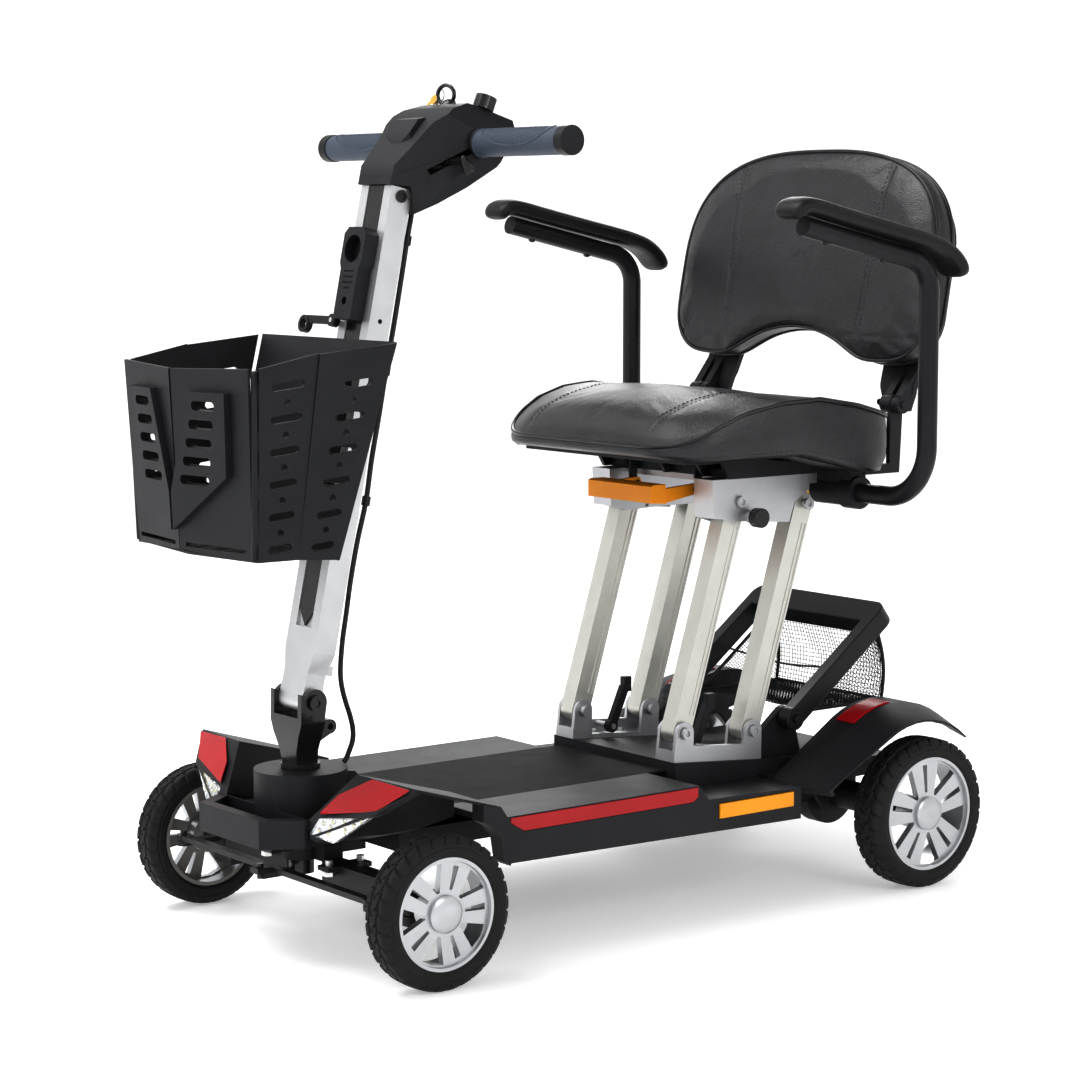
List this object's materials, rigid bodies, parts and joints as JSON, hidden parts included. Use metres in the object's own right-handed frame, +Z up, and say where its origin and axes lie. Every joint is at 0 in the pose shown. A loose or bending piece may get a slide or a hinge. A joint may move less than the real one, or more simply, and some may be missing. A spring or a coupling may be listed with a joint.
{
  "type": "mobility scooter",
  "caption": "Compact folding four-wheel mobility scooter with tiller, basket, padded seat on parallel links, flip-up armrests and a rear bag frame.",
  "frame": {"origin": "on the ground below the centre of the scooter's box", "axes": "+Y to the rear, +Z up, +X to the rider's left"},
  "size_m": [0.66, 1.1106, 1.0672],
  "materials": {
    "frame_paint": "black powder coat",
    "body_plastic": "fine-grained charcoal black",
    "floor_texture": "coarse non-slip grain",
    "red_gloss": "glossy red with a metallic base",
    "lamp_clear": "clear lens over small light chips",
    "amber_gloss": "facetted amber reflector",
    "cast_silver": "fine-grained silver casting",
    "zinc": "zinc-plated",
    "black_gloss": "satin to glossy black",
    "black_steel": "satin black paint",
    "tyre_rubber": "matt black, grooved",
    "rim_silver": "silver-painted wheel",
    "column_silver": "satin silver",
    "link_champagne": "satin pale champagne",
    "grip_rubber": "blue-grey with raised dots",
    "key_steel": "plain",
    "leatherette": "black pebbled leatherette",
    "pad_foam": "soft black moulded pad",
    "orange_plastic": "satin orange",
    "bag_mesh": "open black mesh",
    "cable_sheath": "black sheath"
  },
  "bodies": {
    "chassis": {"main_frame": "frame_paint", "deck_shell": "body_plastic", "floor_panel": "floor_texture", "front_body": "body_plastic", "front_bumper": "body_plastic", "red_lenses": "red_gloss", "headlights": "lamp_clear", "side_reflectors": "amber_gloss", "rear_body": "body_plastic", "rear_fenders": "body_plastic", "seat_brackets": "cast_silver", "transaxle": "frame_paint", "battery_pack": "body_plastic", "controller": "frame_paint", "chassis_bolts": "zinc"},
    "steering": {"steering_post": "black_gloss"},
    "knuckle_l": {"knuckle_left": "frame_paint"},
    "knuckle_r": {"knuckle_right": "frame_paint"},
    "tie_rod_body": {"tie_rod": "black_steel"},
    "wheel_fl": {"front_tyre_left": "tyre_rubber", "front_rim_left": "rim_silver"},
    "wheel_fr": {"front_tyre_right": "tyre_rubber", "front_rim_right": "rim_silver"},
    "wheel_rl": {"rear_tyre_left": "tyre_rubber", "rear_rim_left": "rim_silver"},
    "wheel_rr": {"rear_tyre_right": "tyre_rubber", "rear_rim_right": "rim_silver"},
    "tiller": {"tiller_column": "column_silver", "column_insert": "black_gloss", "port_housing": "body_plastic", "tiller_head_upper": "body_plastic", "tiller_head_lower": "body_plastic", "handlebar": "black_steel", "grips": "grip_rubber", "tiller_cable": "cable_sheath"},
    "dial": {"speed_dial": "black_gloss"},
    "key": {"ignition_key": "key_steel"},
    "throttle": {"throttle_lever": "black_gloss"},
    "horn": {"horn_button": "black_gloss"},
    "quick": {"quick_lever": "body_plastic"},
    "basket": {"basket_back": "body_plastic", "basket_panels": "body_plastic"},
    "floor_flap": {"basket_floor": "body_plastic"},
    "links_front": {"front_links": "link_champagne"},
    "links_rear": {"rear_links": "link_champagne"},
    "seat": {"seat_mount": "cast_silver", "seat_pan": "body_plastic", "seat_cushion": "leatherette"},
    "backrest": {"backrest_shell": "body_plastic", "back_cushion": "leatherette"},
    "arm_l": {"armrest_left": "black_steel", "armrest_pad_left": "pad_foam"},
    "arm_r": {"armrest_right": "black_steel", "armrest_pad_right": "pad_foam"},
    "release": {"release_lever": "orange_plastic"},
    "lock_pin": {"lock_knob": "black_gloss"},
    "carry": {"carry_frame": "black_steel", "mesh_bag": "bag_mesh"},
    "latch_l": {"latch_lever_left": "body_plastic"},
    "latch_r": {"latch_lever_right": "body_plastic"}
  },
  "joints": [
    {"name": "tiller_steer", "type": "hinge", "parent": "chassis", "child": "steering", "pos_m": [0, -0.3763, 0.2], "axis": [0, 0, 1], "range_deg": [-35, 35]},
    {"name": "kingpin_left", "type": "hinge", "parent": "chassis", "child": "knuckle_l", "pos_m": [0.215, -0.3583, 0.0926], "axis": [0, 0, 1], "range_deg": [-36, 36]},
    {"name": "kingpin_right", "type": "hinge", "parent": "chassis", "child": "knuckle_r", "pos_m": [-0.215, -0.3583, 0.0926], "axis": [0, 0, 1], "range_deg": [-36, 36]},
    {"name": "tie_rod_swing", "type": "hinge", "parent": "knuckle_l", "child": "tie_rod_body", "pos_m": [0.215, -0.4183, 0.103], "axis": [0, 0, 1], "range_deg": [-36, 36]},
    {"name": "tiller_fold", "type": "hinge", "parent": "steering", "child": "tiller", "pos_m": [0, -0.3763, 0.309], "axis": [-1, 0, 0], "range_deg": [0, 34], "deforming": ["tiller_cable"]},
    {"name": "front_spin_left", "type": "hinge", "parent": "knuckle_l", "child": "wheel_fl", "pos_m": [0.266, -0.3583, 0.0926], "axis": [1, 0, 0], "continuous": true},
    {"name": "front_spin_right", "type": "hinge", "parent": "knuckle_r", "child": "wheel_fr", "pos_m": [-0.266, -0.3583, 0.0926], "axis": [1, 0, 0], "continuous": true},
    {"name": "rear_spin_left", "type": "hinge", "parent": "chassis", "child": "wheel_rl", "pos_m": [0.243, 0.4537, 0.1016], "axis": [1, 0, 0], "continuous": true},
    {"name": "rear_spin_right", "type": "hinge", "parent": "chassis", "child": "wheel_rr", "pos_m": [-0.243, 0.4537, 0.1016], "axis": [1, 0, 0], "continuous": true},
    {"name": "seat_fold", "type": "hinge", "parent": "chassis", "child": "links_front", "pos_m": [0, 0.13974, 0.22609], "axis": [-1, 0, 0], "range_deg": [-80, 0]},
    {"name": "rear_link_fold", "type": "hinge", "parent": "chassis", "child": "links_rear", "pos_m": [0, 0.25935, 0.21647], "axis": [-1, 0, 0], "range_deg": [-81, 1]},
    {"name": "seat_level", "type": "hinge", "parent": "links_front", "child": "seat", "pos_m": [0, 0.23311, 0.52589], "axis": [-1, 0, 0], "range_deg": [-1, 81]},
    {"name": "backrest_fold", "type": "hinge", "parent": "seat", "child": "backrest", "pos_m": [0, 0.44511, 0.64989], "axis": [-1, 0, 0], "range_deg": [-64, 0]},
    {"name": "armrest_flip_left", "type": "hinge", "parent": "seat", "child": "arm_l", "pos_m": [0.15, 0.39911, 0.53189], "axis": [-1, 0, 0], "range_deg": [0, 90]},
    {"name": "armrest_flip_right", "type": "hinge", "parent": "seat", "child": "arm_r", "pos_m": [-0.15, 0.39911, 0.53189], "axis": [-1, 0, 0], "range_deg": [0, 90]},
    {"name": "release_pull", "type": "hinge", "parent": "seat", "child": "release", "pos_m": [0, 0.20911, 0.53989], "axis": [-1, 0, 0], "range_deg": [0, 20], "stiffness_Nm_per_rad": 1.2, "springref_deg": -20.05},
    {"name": "lock_pin_pull", "type": "slide", "parent": "seat", "child": "lock_pin", "axis": [1, 0, 0], "range_m": [0, 0.005], "stiffness_N_per_m": 400},
    {"name": "throttle_turn", "type": "hinge", "parent": "tiller", "child": "throttle", "pos_m": [0, -0.1883, 0.967], "axis": [0, -0.4924, 0.8704], "range_deg": [-8, 8], "stiffness_Nm_per_rad": 0.3},
    {"name": "dial_turn", "type": "hinge", "parent": "tiller", "child": "dial", "pos_m": [0.045, -0.12644, 1.03504], "axis": [0, 0.3714, 0.9285], "range_deg": [-135, 135]},
    {"name": "key_turn", "type": "hinge", "parent": "tiller", "child": "key", "pos_m": [-0.02, -0.1283, 1.0304], "axis": [0, 0.3714, 0.9285], "range_deg": [-45, 45]},
    {"name": "horn_press", "type": "slide", "parent": "tiller", "child": "horn", "axis": [0, -0.3714, -0.9285], "range_m": [0, 0.0015], "stiffness_N_per_m": 300},
    {"name": "quick_turn", "type": "hinge", "parent": "tiller", "child": "quick", "pos_m": [-0.028, -0.30181, 0.77158], "axis": [0, 0.9785, -0.2062], "range_deg": [-40, 0]},
    {"name": "basket_lift", "type": "slide", "parent": "tiller", "child": "basket", "axis": [0, 0.2062, 0.9785], "range_m": [0, 0.02]},
    {"name": "basket_floor_fold", "type": "hinge", "parent": "basket", "child": "floor_flap", "pos_m": [0, -0.4123, 0.502], "axis": [1, 0, 0], "range_deg": [-80, 0]},
    {"name": "carry_swing", "type": "hinge", "parent": "chassis", "child": "carry", "pos_m": [0, 0.3317, 0.225], "axis": [-1, 0, 0], "range_deg": [0, 30], "deforming": ["mesh_bag"]},
    {"name": "latch_turn_left", "type": "hinge", "parent": "chassis", "child": "latch_l", "pos_m": [0.088, 0.18777, 0.19965], "axis": [1, 0, 0], "range_deg": [0, 14], "stiffness_Nm_per_rad": 0.4, "springref_deg": -11.46},
    {"name": "latch_turn_right", "type": "hinge", "parent": "chassis", "child": "latch_r", "pos_m": [-0.088, 0.18777, 0.19965], "axis": [1, 0, 0], "range_deg": [0, 14], "stiffness_Nm_per_rad": 0.4, "springref_deg": -11.46}
  ],
  "couplings": [
    {"joint": "kingpin_left", "follows": "tiller_steer", "ratio": 1},
    {"joint": "kingpin_right", "follows": "tiller_steer", "ratio": 1},
    {"joint": "tie_rod_swing", "follows": "tiller_steer", "ratio": -1},
    {"joint": "rear_link_fold", "follows": "seat_fold", "ratio": 1},
    {"joint": "seat_level", "follows": "seat_fold", "ratio": -1}
  ]
}
